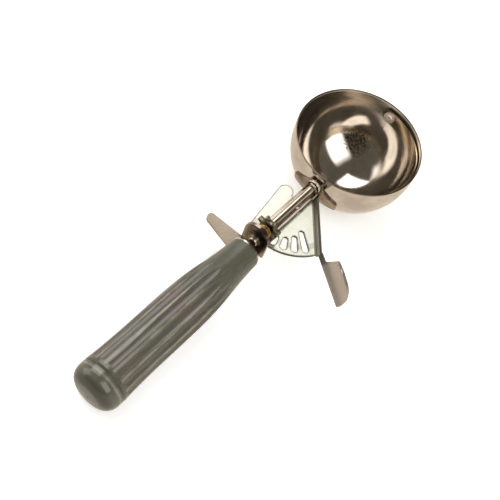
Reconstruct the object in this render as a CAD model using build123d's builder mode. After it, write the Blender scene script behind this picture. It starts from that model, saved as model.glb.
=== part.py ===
from build123d import *

import os
from math import cos, radians, sin, sqrt

# Lever ice cream scoop, size 8 (118 ml): a bowl, a sweeping scraper blade on a shaft, a
# thumb lever whose slotted sector turns the shaft's pinion, and a fluted handle on a tang.
#
# Millimetres. The origin is the centre of the bowl's rim circle. +Z points out of the
# bowl's mouth, +X away from the handle, +Y to the finger rest's side. The shaft lies along X
# through the centre of the bowl's hemisphere.

# ---------------------------------------------------------------- driving dimensions
# Bowl
BOWL_RADIUS = 34.9           # inside
BOWL_STRAIGHT = 7.6          # straight wall between the hemisphere and the rim
BOWL_WALL = 0.9
RIM_ROUND = 0.3

# Fits, as radial clearances or face gaps
RUNNING_FIT = 0.05           # a shaft or pin that turns in its hole
FIXED_FIT = 0.03             # a rivet, bush or rod that stands still in its hole
WELD_FILM = 0.02             # faces that are welded or pressed together
SWEEP_GAP = 0.35             # the blade and the bowl's inner wall
FACE_GAP = 0.1               # moving faces beside each other

HEAD_ROUND = 0.7             # rounded share of a rivet head's height

# Scraper shaft and blade
SHAFT_D = 4.0
SHAFT_NECK_D = 2.8           # end that carries the blade
BLADE_WIDTH = 9.0
BLADE_THICKNESS = 0.8
BLADE_TAB_ANGLE = 8.0        # how far the blade's ends run past the shaft line
BLADE_TAB_ROUND = 3.2
BLADE_RIVET_D = 5.6
BLADE_RIVET_HEIGHT = 1.1
FAR_PIN_D = 3.2
FAR_PIN_HEAD_D = 6.4
FAR_PIN_HEAD_HEIGHT = 1.4
FAR_WASHER_D = 6.6
FAR_WASHER_THICKNESS = 0.5
FAR_PIN_PEEN_D = 4.6
FAR_PIN_PEEN_HEIGHT = 0.8

# Lever travel and gearing
LEVER_TRAVEL = 42.5          # degrees
SCRAPER_TRAVEL = 170.0       # degrees
PINION_TEETH = 7
MESH_RADIUS = 24.6           # lever pivot to the middle of the pinion
PINION_LENGTH = 4.2
PINION_ADDENDUM = 0.95
PINION_DEDENDUM = 1.3
TOOTH_ROOT_WIDTH = 2.1
TOOTH_TIP_WIDTH = 1.1
TOOTH_SINK = 0.4             # how far a tooth is let into the pinion's root circle
PINION_PIN_D = 1.2

# Lever stamping
LEVER_THICKNESS = 1.3
SLOT_BEYOND_PINION = 1.1     # slots' outer ends past the pinion's rear face
SECTOR_LAND = 2.1            # sector's edge beyond the slots
SLOT_INNER_RADII = (21.2, 21.2, 20.2, 18.3, 15.0)
SLOT_INNER_ROUND = 1.3
SLOT_OUTER_ROUND = 1.75
LOBE_RADIUS = 4.2
LOBE_FORWARD = 3.4           # the side lobe's centre from the pivot
LOBE_SIDE = 9.5
LOBE_EDGE_SLOPE = 0.14
SECTOR_CORNER_ROUND = 3.5
HUB_RADIUS = 6.0
HUB_SHOULDER = 4.8           # where the front edge leaves the lobe, from the shaft line
STRAP_ANGLE = 41.7           # of the bent-up strap, from -X towards -Y
STRAP_OFFSET = 11.0          # strap's outer face from the pivot
STRAP_START = -4.3           # along the strap, from the foot of the pivot's perpendicular
STRAP_LEAN = 12.0            # degrees that strap and pad lean out from the sector
STRAP_END = 30.0
STRAP_RISE = 5.0             # strap's width, up its leaning face from the sector's underside
ARM_START = 28.6
ARM_LIFT = 2.9               # the arm's lower edge, up the same face
PAD_ANGLE = 57.0             # of the thumb pad's plan, from -X towards -Y
PAD_LENGTH = 29.2
PAD_HEIGHT = 14.4
PAD_DISH = 1.6               # hollow across its height, on the handle's side
PAD_ROOT_LAP = 1.0           # pad let into the arm
PAD_NECK = 4.3               # where the pad widens, from its root
PAD_CORNER = 9.9             # its upper corner, from its root
PAD_CREST = 13.2             # its highest point, from its tip
PAD_SHOULDER = 4.2           # from its tip
PAD_SHOULDER_FALL = 1.2      # corner and shoulder below the crest
PAD_NOSE_HEIGHT = 6.8
PAD_NOSE_INSET = 0.5         # from its tip
PAD_ROUNDS = (1.2, 5.0, 6.0, 10.0, 2.0, 2.0)

# Lever pivot stack
PIVOT_BEHIND_BOWL = 15.5     # from the bowl's outside, along the shaft
PIVOT_RIVET_D = 3.2
PIVOT_HEAD_D = 6.0
PIVOT_HEAD_HEIGHT = 0.6
PIVOT_FOOT_D = 6.4
PIVOT_FOOT_HEIGHT = 1.4
PIVOT_WASHER_D = 9.0
PIVOT_WASHER_THICKNESS = 1.4

# Shank bar under the shaft
BAR_WIDTH = 8.2
BAR_THICKNESS = 1.7
BAR_DROP = 2.9               # bar's top face below the shaft's axis
BAR_BEHIND_PIVOT = 20.2      # how far the bar runs past the pivot
BAR_EDGE_ROUND = 0.4

# Front bush, a hexagon collar on a spigot
BUSH_SPIGOT_D = 5.6
BUSH_HEX_LENGTH = 3.0
HEX_FLAT_DOWN = 0.0          # turn that lays a flat on the shank bar

# Saddle that joins bar and frame to the bowl
SADDLE_THICKNESS = 1.2
SADDLE_TOP = 3.6
SADDLE_NECK_HALF = 4.1
SADDLE_SPREAD = 14.5
SADDLE_FOOT_TOP = -7.0
SADDLE_FOOT_BOTTOM = -14.0
SADDLE_CROTCH = -12.0

# Frame strap, folded up at its rear into the bearing plate
FRAME_THICKNESS = 1.9
FRAME_WIDTH = 9.0
BEARING_BEHIND_MESH = 11.2   # pinion's middle to the bearing plate's rear face
BEARING_THICKNESS = 1.7
BEARING_HALF = 7.4           # half width, and radius of the rounded top
BEARING_ARC_HEIGHT = 4.9     # rounded top's centre above the shaft's axis
REAR_BUSH_D = 5.8
REAR_BUSH_FLANGE_D = 7.6
REAR_BUSH_FLANGE = 0.7
END_WASHER_D = 7.0
END_WASHER_THICKNESS = 0.5
SHAFT_HEAD_D = 5.0
SHAFT_HEAD_HEIGHT = 0.9

# Tang plate with the finger rest
TANG_THICKNESS = 1.9
TANG_WIDTH = 8.0
TANG_REACH = 32.0            # into the handle
TANG_BASE_LENGTH = 9.0       # under the frame strap, ahead of the bearing plate
TANG_LAP = 1.0               # tang and finger rest let into the base
JOGGLE_START = 3.0           # the tang's step down to the handle's axis
JOGGLE_LENGTH = 7.0
JOGGLE_SKEW = 0.6
FINGER_REST_REACH = 29.2     # from the shaft line
FINGER_FOOT = 2.0            # front edge's foot ahead of the bearing plate
FINGER_FRONT = 0.6           # tip's front corner ahead of the bearing plate
FINGER_TIP_WIDTH = 4.2
FINGER_ROOT = 11.2           # rear edge's lower end, from the shaft line
FINGER_ROOT_GAP = 0.1        # that end ahead of the handle's front
FINGER_HEEL = 8.6            # where the rear edge comes in to the base, from the shaft line
FINGER_ROUNDS = (2.0, 2.6, 2.0)
FINGER_TILT = 12.0           # degrees, the front edge raised
FINGER_FLAT = 0.5            # level stretch beside the base, before the twist
FINGER_TWIST = 5.0
FRAME_RIVET_D = 2.0
FRAME_RIVET_HEAD_D = 3.4
FRAME_RIVET_HEAD = 0.8
FRAME_RIVET_PITCH = 3.8

# Return spring
SPRING_WIRE = 0.9
SPRING_MEAN_RADIUS = 3.1
SPRING_TURNS = 5.0

# Handle
HANDLE_DROP = 5.3            # handle's axis below the shaft's axis
HANDLE_GAP = 5.2             # bearing plate's rear face to the handle
FERRULE_THICKNESS = 1.0
FERRULE_RADIUS = 8.0
HANDLE_LENGTH = 97.0         # without the end cap
NECK_RADIUS = 8.6
NECK_ROUND = 0.8
WAIST_RADIUS = 9.8
SHOULDER_RADIUS = 11.6
GRIP_RADIUS = 12.3
BUTT_RADIUS = 12.9
WAIST_AT = 16.0              # stations behind the handle's front
SHOULDER_AT = 31.0
GRIP_AT = 69.0
BUTT_GROOVE = 0.7
FLUTE_COUNT = 14
FLUTE_CUTTER_RADIUS = 3.2
FLUTE_DEPTH = 0.75
FLUTE_START = 37.0
FLUTE_RUNOUT = 19.0          # cutter's overrun past the flute's start
FLUTE_MARGIN = 3.0

# Handle's fixing
TANG_SLOT_GAP = 0.1
TANG_END_GAP = 1.0
ROD_D = 6.0
ROD_LAP = 13.0               # tang let into the rod's slot
ROD_BEYOND_NUT = 1.4
POCKET_D = 14.4
POCKET_DEPTH = 11.0
TANG_WASHER_D = 13.4
TANG_WASHER_THICKNESS = 1.2
NUT_FLATS = 10.0
NUT_HEIGHT = 5.0

# End cap
CAP_LENGTH = 10.6
CAP_EDGE_ROUND = 7.0
CAP_DOME = 1.2
CAP_DRAFT = 0.3
CAP_SPIGOT_LENGTH = 4.0
CAP_SPIGOT_WALL = 0.9
CAP_RECESS = 3.5

# ---------------------------------------------------------------- derived places
AXIS_Z = -BOWL_STRAIGHT
BOWL_OUTER = BOWL_RADIUS + BOWL_WALL
SADDLE_INNER = BOWL_OUTER + WELD_FILM
SADDLE_OUTER = SADDLE_INNER + SADDLE_THICKNESS

BLADE_OUTER = BOWL_RADIUS - SWEEP_GAP
BLADE_INNER = BLADE_OUTER - BLADE_THICKNESS

PIVOT_X = -BOWL_OUTER - PIVOT_BEHIND_BOWL
GEAR_RATIO = SCRAPER_TRAVEL / LEVER_TRAVEL
SLOT_PITCH = 360.0 / PINION_TEETH / GEAR_RATIO
PINION_PITCH_RADIUS = MESH_RADIUS / GEAR_RATIO
PINION_TIP_RADIUS = PINION_PITCH_RADIUS + PINION_ADDENDUM
PINION_ROOT_RADIUS = PINION_PITCH_RADIUS - PINION_DEDENDUM
SLOT_OUTER_RADIUS = MESH_RADIUS + PINION_LENGTH / 2 + SLOT_BEYOND_PINION
SECTOR_RADIUS = SLOT_OUTER_RADIUS + SECTOR_LAND
PINION_FRONT_X = PIVOT_X - MESH_RADIUS + PINION_LENGTH / 2
PINION_REAR_X = PINION_FRONT_X - PINION_LENGTH

BEARING_REAR_X = PIVOT_X - MESH_RADIUS - BEARING_BEHIND_MESH
BEARING_FRONT_X = BEARING_REAR_X + BEARING_THICKNESS
HANDLE_FRONT_X = BEARING_REAR_X - HANDLE_GAP
HANDLE_BUTT_X = HANDLE_FRONT_X - HANDLE_LENGTH
HANDLE_Z = AXIS_Z - HANDLE_DROP

# Heights of the stack under the shaft, from the shaft's axis down
BAR_TOP = -BAR_DROP
BAR_BOTTOM = BAR_TOP - BAR_THICKNESS
LEVER_TOP = -(PINION_PITCH_RADIUS - LEVER_THICKNESS / 2)
LEVER_BOTTOM = LEVER_TOP - LEVER_THICKNESS
FRAME_TOP = LEVER_BOTTOM - PIVOT_WASHER_THICKNESS - FACE_GAP
FRAME_BOTTOM = FRAME_TOP - FRAME_THICKNESS
TANG_TOP = FRAME_BOTTOM
TANG_BOTTOM = TANG_TOP - TANG_THICKNESS

HANDLE_AXIS = Axis((0, 0, HANDLE_Z), (1, 0, 0))

os.makedirs("parts", exist_ok=True)


def across(x, z=AXIS_Z):
    """Plane square to the shaft at x: sketch x is +Y, sketch y is +Z, extrusion is +X."""
    return Plane(origin=(x, 0, z), x_dir=(0, 1, 0), z_dir=(1, 0, 0))


def level(height, x=0.0):
    """Level plane at a height from the shaft's axis, with its origin at x."""
    return Plane(origin=(x, 0, AXIS_Z + height), x_dir=(1, 0, 0), z_dir=(0, 0, 1))


def inside_blade(radius):
    """Distance along X from the bowl's centre to the blade's inner face, this far off the axis."""
    return sqrt(BLADE_INNER**2 - radius**2)


def keep(part, name):
    """Label a finished piece and write its file."""
    part.label = name
    export_step(part, f"parts/{name}.step")


# ---------------------------------------------------------------- bowl
with BuildPart() as bowl:
    with BuildSketch(Plane.XZ):
        with BuildLine():
            Line((BOWL_OUTER, 0), (BOWL_OUTER, AXIS_Z))
            CenterArc((0, AXIS_Z), BOWL_OUTER, -90, 90)
            Line((0, AXIS_Z - BOWL_OUTER), (0, AXIS_Z - BOWL_RADIUS))
            CenterArc((0, AXIS_Z), BOWL_RADIUS, -90, 90)
            Line((BOWL_RADIUS, AXIS_Z), (BOWL_RADIUS, 0))
            Line((BOWL_RADIUS, 0), (BOWL_OUTER, 0))
        make_face()
    revolve(axis=Axis.Z)
    fillet(bowl.edges().group_by(Axis.Z)[-1], RIM_ROUND)
    with BuildSketch(across(-BOWL_OUTER)):
        Circle(BUSH_SPIGOT_D / 2 + FIXED_FIT)
    extrude(amount=BOWL_WALL * 2, mode=Mode.SUBTRACT)
    with BuildSketch(across(BOWL_RADIUS - BOWL_WALL)):
        Circle(FAR_PIN_D / 2 + FIXED_FIT)
    extrude(amount=BOWL_WALL * 3, mode=Mode.SUBTRACT)
keep(bowl.part, "bowl")

# ---------------------------------------------------------------- bowl saddle
with BuildPart() as bowl_saddle:
    with BuildSketch(Plane.XZ):
        with BuildLine():
            Line((SADDLE_OUTER, AXIS_Z + SADDLE_TOP), (SADDLE_OUTER, AXIS_Z))
            CenterArc((0, AXIS_Z), SADDLE_OUTER, -90, 90)
            Line((0, AXIS_Z - SADDLE_OUTER), (0, AXIS_Z - SADDLE_INNER))
            CenterArc((0, AXIS_Z), SADDLE_INNER, -90, 90)
            Line((SADDLE_INNER, AXIS_Z), (SADDLE_INNER, AXIS_Z + SADDLE_TOP))
            Line((SADDLE_INNER, AXIS_Z + SADDLE_TOP), (SADDLE_OUTER, AXIS_Z + SADDLE_TOP))
        make_face()
    revolve(axis=Axis.Z)
    with BuildSketch(across(-SADDLE_OUTER)) as fishtail:
        Polygon(
            (-SADDLE_NECK_HALF, SADDLE_TOP),
            (-SADDLE_NECK_HALF, 0),
            (-SADDLE_SPREAD, SADDLE_FOOT_TOP),
            (-SADDLE_SPREAD, SADDLE_FOOT_BOTTOM),
            (-FRAME_WIDTH / 2, SADDLE_CROTCH),
            (FRAME_WIDTH / 2, SADDLE_CROTCH),
            (SADDLE_SPREAD, SADDLE_FOOT_BOTTOM),
            (SADDLE_SPREAD, SADDLE_FOOT_TOP),
            (SADDLE_NECK_HALF, 0),
            (SADDLE_NECK_HALF, SADDLE_TOP),
            align=None,
        )
        fillet(fishtail.vertices(), SADDLE_THICKNESS)
    extrude(amount=SADDLE_OUTER / 2, mode=Mode.INTERSECT)
    with BuildSketch(across(-SADDLE_OUTER)):
        Circle(BUSH_SPIGOT_D / 2 + FIXED_FIT)
    extrude(amount=SADDLE_OUTER / 2, mode=Mode.SUBTRACT)
keep(bowl_saddle.part, "bowl_saddle")

# ---------------------------------------------------------------- shank bar
BAR_REAR_X = PIVOT_X - BAR_BEHIND_PIVOT

with BuildPart() as shank_bar:
    with BuildSketch(across(BAR_REAR_X)):
        with Locations((0, BAR_BOTTOM)):
            Rectangle(BAR_WIDTH, BAR_THICKNESS, align=(Align.CENTER, Align.MIN))
    extrude(amount=-BAR_REAR_X - BOWL_RADIUS)
    fillet(shank_bar.edges().filter_by(Axis.X), BAR_EDGE_ROUND)
    with Locations((0, 0, AXIS_Z)):
        Sphere(SADDLE_OUTER + WELD_FILM, mode=Mode.SUBTRACT)
    with BuildSketch(level(BAR_BOTTOM, PIVOT_X)):
        Circle(PIVOT_RIVET_D / 2 + FIXED_FIT)
    extrude(amount=BAR_THICKNESS, mode=Mode.SUBTRACT)
keep(shank_bar.part, "shank_bar")

# ---------------------------------------------------------------- front bush
BUSH_REAR_X = -SADDLE_OUTER - WELD_FILM - BUSH_HEX_LENGTH
BUSH_FRONT_X = -BOWL_RADIUS + FACE_GAP

with BuildPart() as front_bush:
    with BuildSketch(across(BUSH_REAR_X)):
        RegularPolygon(BAR_DROP - WELD_FILM, 6, major_radius=False, rotation=HEX_FLAT_DOWN)
    extrude(amount=BUSH_HEX_LENGTH)
    with BuildSketch(across(BUSH_REAR_X)):
        Circle(BUSH_SPIGOT_D / 2)
    extrude(amount=BUSH_FRONT_X - BUSH_REAR_X)
    with BuildSketch(across(BUSH_REAR_X)):
        Circle(SHAFT_D / 2 + RUNNING_FIT)
    extrude(amount=BUSH_FRONT_X - BUSH_REAR_X, mode=Mode.SUBTRACT)
keep(front_bush.part, "front_bush")

# ---------------------------------------------------------------- frame strap
FRAME_RIVET_X = BEARING_FRONT_X + FRAME_RIVET_HEAD_D / 2 + FACE_GAP
FRAME_RIVET_XS = (FRAME_RIVET_X, FRAME_RIVET_X + FRAME_RIVET_PITCH)

with BuildPart() as frame_strap:
    with BuildSketch(level(FRAME_BOTTOM, BEARING_REAR_X)):
        Rectangle(
            -BEARING_REAR_X - BOWL_RADIUS + SADDLE_THICKNESS,
            FRAME_WIDTH,
            align=(Align.MIN, Align.CENTER),
        )
    extrude(amount=FRAME_THICKNESS)
    with Locations((0, 0, AXIS_Z)):
        Sphere(SADDLE_OUTER + WELD_FILM, mode=Mode.SUBTRACT)
    with BuildSketch(across(BEARING_REAR_X)):
        with Locations((0, FRAME_TOP)):
            Rectangle(2 * BEARING_HALF, BEARING_ARC_HEIGHT - FRAME_TOP, align=(Align.CENTER, Align.MIN))
        with Locations((0, BEARING_ARC_HEIGHT)):
            Circle(BEARING_HALF)
    extrude(amount=BEARING_THICKNESS)
    with BuildSketch(across(BEARING_REAR_X)):
        Circle(REAR_BUSH_D / 2 + FIXED_FIT)
    extrude(amount=BEARING_THICKNESS, mode=Mode.SUBTRACT)
    with BuildSketch(level(FRAME_BOTTOM)):
        with Locations((PIVOT_X, 0)):
            Circle(PIVOT_RIVET_D / 2 + FIXED_FIT)
        with Locations([(x, 0) for x in FRAME_RIVET_XS]):
            Circle(FRAME_RIVET_D / 2 + FIXED_FIT)
    extrude(amount=FRAME_THICKNESS, mode=Mode.SUBTRACT)
keep(frame_strap.part, "frame_strap")

# ---------------------------------------------------------------- rear bush
BUSH_FLANGE_FRONT_X = BEARING_FRONT_X + REAR_BUSH_FLANGE

with BuildPart() as rear_bush:
    with BuildSketch(across(BEARING_REAR_X)):
        Circle(REAR_BUSH_D / 2)
    extrude(amount=BEARING_THICKNESS)
    with BuildSketch(across(BEARING_FRONT_X)):
        Circle(REAR_BUSH_FLANGE_D / 2)
    extrude(amount=REAR_BUSH_FLANGE)
    with BuildSketch(across(BEARING_REAR_X)):
        Circle(SHAFT_D / 2 + RUNNING_FIT)
    extrude(amount=BEARING_THICKNESS + REAR_BUSH_FLANGE, mode=Mode.SUBTRACT)
keep(rear_bush.part, "rear_bush")

# ---------------------------------------------------------------- scraper shaft
WASHER_FRONT_X = BEARING_REAR_X - FACE_GAP
SHAFT_REAR_X = WASHER_FRONT_X - END_WASHER_THICKNESS
SHAFT_SHOULDER_X = -BLADE_OUTER - WELD_FILM
BLADE_RIVET_X = -inside_blade(BLADE_RIVET_D / 2) + WELD_FILM

with BuildPart() as scraper_shaft:
    with BuildSketch(across(SHAFT_REAR_X)):
        Circle(SHAFT_D / 2)
    extrude(amount=SHAFT_SHOULDER_X - SHAFT_REAR_X)
    with BuildSketch(across(SHAFT_SHOULDER_X)):
        Circle(SHAFT_NECK_D / 2)
    extrude(amount=BLADE_RIVET_X - SHAFT_SHOULDER_X)
    with BuildSketch(across(BLADE_RIVET_X)):
        Circle(BLADE_RIVET_D / 2)
    extrude(amount=BLADE_RIVET_HEIGHT)
    fillet(scraper_shaft.edges().group_by(Axis.X)[-1], BLADE_RIVET_HEIGHT * HEAD_ROUND)
    with BuildSketch(across(SHAFT_REAR_X - SHAFT_HEAD_HEIGHT)):
        Circle(SHAFT_HEAD_D / 2)
    extrude(amount=SHAFT_HEAD_HEIGHT)
    fillet(scraper_shaft.edges().group_by(Axis.X)[0], SHAFT_HEAD_HEIGHT * HEAD_ROUND)
    with BuildSketch(level(-SHAFT_D, (PINION_FRONT_X + PINION_REAR_X) / 2)):
        Circle(PINION_PIN_D / 2 + FIXED_FIT)
    extrude(amount=2 * SHAFT_D, mode=Mode.SUBTRACT)
keep(scraper_shaft.part, "scraper_shaft")

# ---------------------------------------------------------------- shaft end washer
with BuildPart() as shaft_end_washer:
    with BuildSketch(across(SHAFT_REAR_X + WELD_FILM)):
        Circle(END_WASHER_D / 2)
        Circle(SHAFT_D / 2 + FIXED_FIT, mode=Mode.SUBTRACT)
    extrude(amount=END_WASHER_THICKNESS - WELD_FILM)
keep(shaft_end_washer.part, "shaft_end_washer")

# ---------------------------------------------------------------- pinion
TOOTH_ROOT_DEPTH = PINION_ROOT_RADIUS - TOOTH_SINK

with BuildPart() as pinion:
    with BuildSketch(across(PINION_REAR_X)):
        Circle(PINION_ROOT_RADIUS)
        with PolarLocations(0, PINION_TEETH, start_angle=-90):
            Polygon(
                (TOOTH_ROOT_DEPTH, -TOOTH_ROOT_WIDTH / 2),
                (PINION_TIP_RADIUS, -TOOTH_TIP_WIDTH / 2),
                (PINION_TIP_RADIUS, TOOTH_TIP_WIDTH / 2),
                (TOOTH_ROOT_DEPTH, TOOTH_ROOT_WIDTH / 2),
                align=None,
            )
        Circle(SHAFT_D / 2 + FIXED_FIT, mode=Mode.SUBTRACT)
    extrude(amount=PINION_LENGTH)
    with BuildSketch(level(0, (PINION_FRONT_X + PINION_REAR_X) / 2)):
        Circle(PINION_PIN_D / 2 + FIXED_FIT)
    extrude(amount=PINION_ROOT_RADIUS + PINION_ADDENDUM, both=True, mode=Mode.SUBTRACT)
keep(pinion.part, "pinion")

# ---------------------------------------------------------------- pinion pin
with BuildPart() as pinion_pin:
    with BuildSketch(level(0, (PINION_FRONT_X + PINION_REAR_X) / 2)):
        Circle(PINION_PIN_D / 2)
    extrude(amount=PINION_ROOT_RADIUS - FACE_GAP, both=True)
keep(pinion_pin.part, "pinion_pin")

# ---------------------------------------------------------------- return spring
SPRING_REAR_X = BUSH_FLANGE_FRONT_X + SPRING_WIRE / 2 + FACE_GAP
SPRING_LENGTH = PINION_REAR_X - SPRING_WIRE / 2 - FACE_GAP - SPRING_REAR_X

with BuildPart() as return_spring:
    with BuildLine():
        coil = Helix(
            pitch=SPRING_LENGTH / SPRING_TURNS,
            height=SPRING_LENGTH,
            radius=SPRING_MEAN_RADIUS,
            center=(SPRING_REAR_X, 0, AXIS_Z),
            direction=(1, 0, 0),
        )
    with BuildSketch(Plane(origin=coil @ 0, z_dir=coil % 0)):
        Circle(SPRING_WIRE / 2)
    sweep(is_frenet=True)
keep(return_spring.part, "return_spring")

# ---------------------------------------------------------------- scraper blade
BLADE_SWEEP = 180 + 2 * BLADE_TAB_ANGLE
TAB = radians(BLADE_TAB_ANGLE)
BLADE_END = Plane(origin=(0, 0, AXIS_Z), x_dir=(cos(TAB), sin(TAB), 0), z_dir=(sin(TAB), -cos(TAB), 0))

with BuildPart() as scraper_blade:
    with BuildSketch(BLADE_END):
        Circle(BLADE_OUTER)
        Circle(BLADE_INNER, mode=Mode.SUBTRACT)
        with Locations((BLADE_OUTER, 0)):
            Rectangle(BLADE_OUTER, BLADE_WIDTH, mode=Mode.INTERSECT)
    revolve(axis=Axis((0, 0, AXIS_Z), (0, 0, -1)), revolution_arc=BLADE_SWEEP)
    fillet(scraper_blade.edges().filter_by(GeomType.LINE), BLADE_TAB_ROUND)
    with BuildSketch(across(-BLADE_OUTER)):
        Circle(SHAFT_NECK_D / 2 + FIXED_FIT)
    extrude(amount=BLADE_THICKNESS * 2, mode=Mode.SUBTRACT)
    with BuildSketch(across(BLADE_INNER - BLADE_THICKNESS)):
        Circle(FAR_PIN_D / 2 + RUNNING_FIT)
    extrude(amount=BLADE_THICKNESS * 3, mode=Mode.SUBTRACT)
keep(scraper_blade.part, "scraper_blade")

# ---------------------------------------------------------------- far pivot pin and washer
FAR_WASHER_X = inside_blade(FAR_WASHER_D / 2) - FACE_GAP

with BuildPart() as far_pivot_pin:
    with BuildSketch(across(BOWL_OUTER + WELD_FILM)):
        Circle(FAR_PIN_HEAD_D / 2)
    extrude(amount=FAR_PIN_HEAD_HEIGHT)
    fillet(far_pivot_pin.edges().group_by(Axis.X)[-1], FAR_PIN_HEAD_HEIGHT * HEAD_ROUND)
    with BuildSketch(across(FAR_WASHER_X - FAR_WASHER_THICKNESS)):
        Circle(FAR_PIN_D / 2)
    extrude(amount=BOWL_OUTER + FAR_PIN_HEAD_HEIGHT / 2 - FAR_WASHER_X + FAR_WASHER_THICKNESS)
    with BuildSketch(across(FAR_WASHER_X - FAR_WASHER_THICKNESS - WELD_FILM - FAR_PIN_PEEN_HEIGHT)):
        Circle(FAR_PIN_PEEN_D / 2)
    extrude(amount=FAR_PIN_PEEN_HEIGHT)
    fillet(far_pivot_pin.edges().group_by(Axis.X)[0], FAR_PIN_PEEN_HEIGHT * HEAD_ROUND)
    with BuildSketch(across(FAR_WASHER_X - FAR_WASHER_THICKNESS - FAR_PIN_PEEN_HEIGHT / 2)):
        Circle(FAR_PIN_D / 2)
    extrude(amount=FAR_PIN_PEEN_HEIGHT)
keep(far_pivot_pin.part, "far_pivot_pin")

with BuildPart() as far_pivot_washer:
    with BuildSketch(across(FAR_WASHER_X - FAR_WASHER_THICKNESS)):
        Circle(FAR_WASHER_D / 2)
        Circle(FAR_PIN_D / 2 + FIXED_FIT, mode=Mode.SUBTRACT)
    extrude(amount=FAR_WASHER_THICKNESS)
keep(far_pivot_washer.part, "far_pivot_washer")

# ---------------------------------------------------------------- thumb pad of the lever
STRAP_ALONG = Vector(-cos(radians(STRAP_ANGLE)), -sin(radians(STRAP_ANGLE)), 0)
STRAP_OUT = Vector(-STRAP_ALONG.Y, STRAP_ALONG.X, 0)
PAD_ALONG = Vector(-cos(radians(PAD_ANGLE)), -sin(radians(PAD_ANGLE)), 0)
PAD_OUT = Vector(-PAD_ALONG.Y, PAD_ALONG.X, 0)


def on_strap(along):
    """Point of the strap's foot in the lever's sketch frame."""
    point = STRAP_OUT * STRAP_OFFSET + STRAP_ALONG * along
    return (point.X, point.Y)


def leaning(origin, along, out):
    """Outer face of a leaning plate: sketch x runs along it, sketch y up it, extrusion goes inward."""
    inward = Vector(0, 0, 1) * sin(radians(STRAP_LEAN)) - out * cos(radians(STRAP_LEAN))
    return Plane(origin=origin, x_dir=along, z_dir=inward)


STRAP_FOOT = Vector(PIVOT_X, 0, AXIS_Z + LEVER_BOTTOM) + STRAP_OUT * STRAP_OFFSET
STRAP_PLANE = leaning(STRAP_FOOT, STRAP_ALONG, STRAP_OUT)
PAD_PLANE = leaning(STRAP_PLANE.from_local_coords(Vector(STRAP_END, ARM_LIFT, 0)), PAD_ALONG, PAD_OUT)
PAD_SECTION = Plane(
    origin=PAD_PLANE.from_local_coords(Vector(-PAD_ROOT_LAP, 0, LEVER_THICKNESS / 2)),
    x_dir=PAD_PLANE.y_dir,
    z_dir=PAD_ALONG,
)

with BuildPart() as thumb_pad:
    with BuildSketch(PAD_SECTION):
        with BuildLine():
            ThreePointArc((0, 0), (PAD_HEIGHT / 2, -PAD_DISH), (PAD_HEIGHT, 0))
        trace(line_width=LEVER_THICKNESS)
    extrude(amount=PAD_ROOT_LAP + PAD_LENGTH)
    with BuildSketch(PAD_PLANE):
        with BuildLine():
            outline = FilletPolyline(
                (-PAD_ROOT_LAP, 0),
                (PAD_LENGTH, 0),
                (PAD_LENGTH - PAD_NOSE_INSET, PAD_NOSE_HEIGHT),
                (PAD_LENGTH - PAD_SHOULDER, PAD_HEIGHT - PAD_SHOULDER_FALL),
                (PAD_LENGTH - PAD_CREST, PAD_HEIGHT),
                (PAD_CORNER, PAD_HEIGHT - PAD_SHOULDER_FALL),
                (PAD_NECK, STRAP_RISE - ARM_LIFT),
                (-PAD_ROOT_LAP, STRAP_RISE - ARM_LIFT),
                radius=PAD_ROUNDS,
            )
            Line(outline @ 1, outline @ 0)
        make_face()
    extrude(amount=PAD_LENGTH, both=True, mode=Mode.INTERSECT)

# ---------------------------------------------------------------- lever
LOBE_EDGE = LOBE_SIDE + LOBE_RADIUS
FAR_OUT = 1.5 * SECTOR_RADIUS

with BuildPart() as lever:
    with BuildSketch(level(LEVER_BOTTOM, PIVOT_X)):
        Circle(SECTOR_RADIUS)
        Polygon(
            on_strap(STRAP_START),
            on_strap(FAR_OUT),
            (-FAR_OUT, -FAR_OUT),
            (-FAR_OUT, LOBE_EDGE - LOBE_EDGE_SLOPE * (FAR_OUT + LOBE_FORWARD)),
            (LOBE_FORWARD, LOBE_EDGE),
            (LOBE_FORWARD, HUB_SHOULDER),
            align=None,
            mode=Mode.INTERSECT,
        )
        with Locations((LOBE_FORWARD, LOBE_SIDE)):
            Circle(LOBE_RADIUS)
        Circle(HUB_RADIUS)
        Circle(PIVOT_RIVET_D / 2 + RUNNING_FIT, mode=Mode.SUBTRACT)
    extrude(amount=LEVER_THICKNESS)
    rear_corner = lever.edges().filter_by(Axis.Z).sort_by(Axis.X)[0]
    fillet(rear_corner, SECTOR_CORNER_ROUND)
    for index, inner_radius in enumerate(SLOT_INNER_RADII):
        turn = radians(index * SLOT_PITCH)
        slot_plane = Plane(
            origin=(PIVOT_X, 0, AXIS_Z + LEVER_BOTTOM),
            x_dir=(-cos(turn), -sin(turn), 0),
            z_dir=(0, 0, 1),
        )
        with BuildSketch(slot_plane):
            with Locations((inner_radius + SLOT_INNER_ROUND, 0)):
                Circle(SLOT_INNER_ROUND)
            with Locations((SLOT_OUTER_RADIUS - SLOT_OUTER_ROUND, 0)):
                Circle(SLOT_OUTER_ROUND)
            make_hull()
        extrude(amount=LEVER_THICKNESS, mode=Mode.SUBTRACT)
    with BuildSketch(STRAP_PLANE):
        Polygon(
            (STRAP_START, 0),
            (ARM_START, 0),
            (ARM_START, ARM_LIFT),
            (STRAP_END, ARM_LIFT),
            (STRAP_END, STRAP_RISE),
            (STRAP_START, STRAP_RISE),
            align=None,
        )
    extrude(amount=LEVER_THICKNESS)
    add(thumb_pad.part)
keep(lever.part, "lever")

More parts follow.
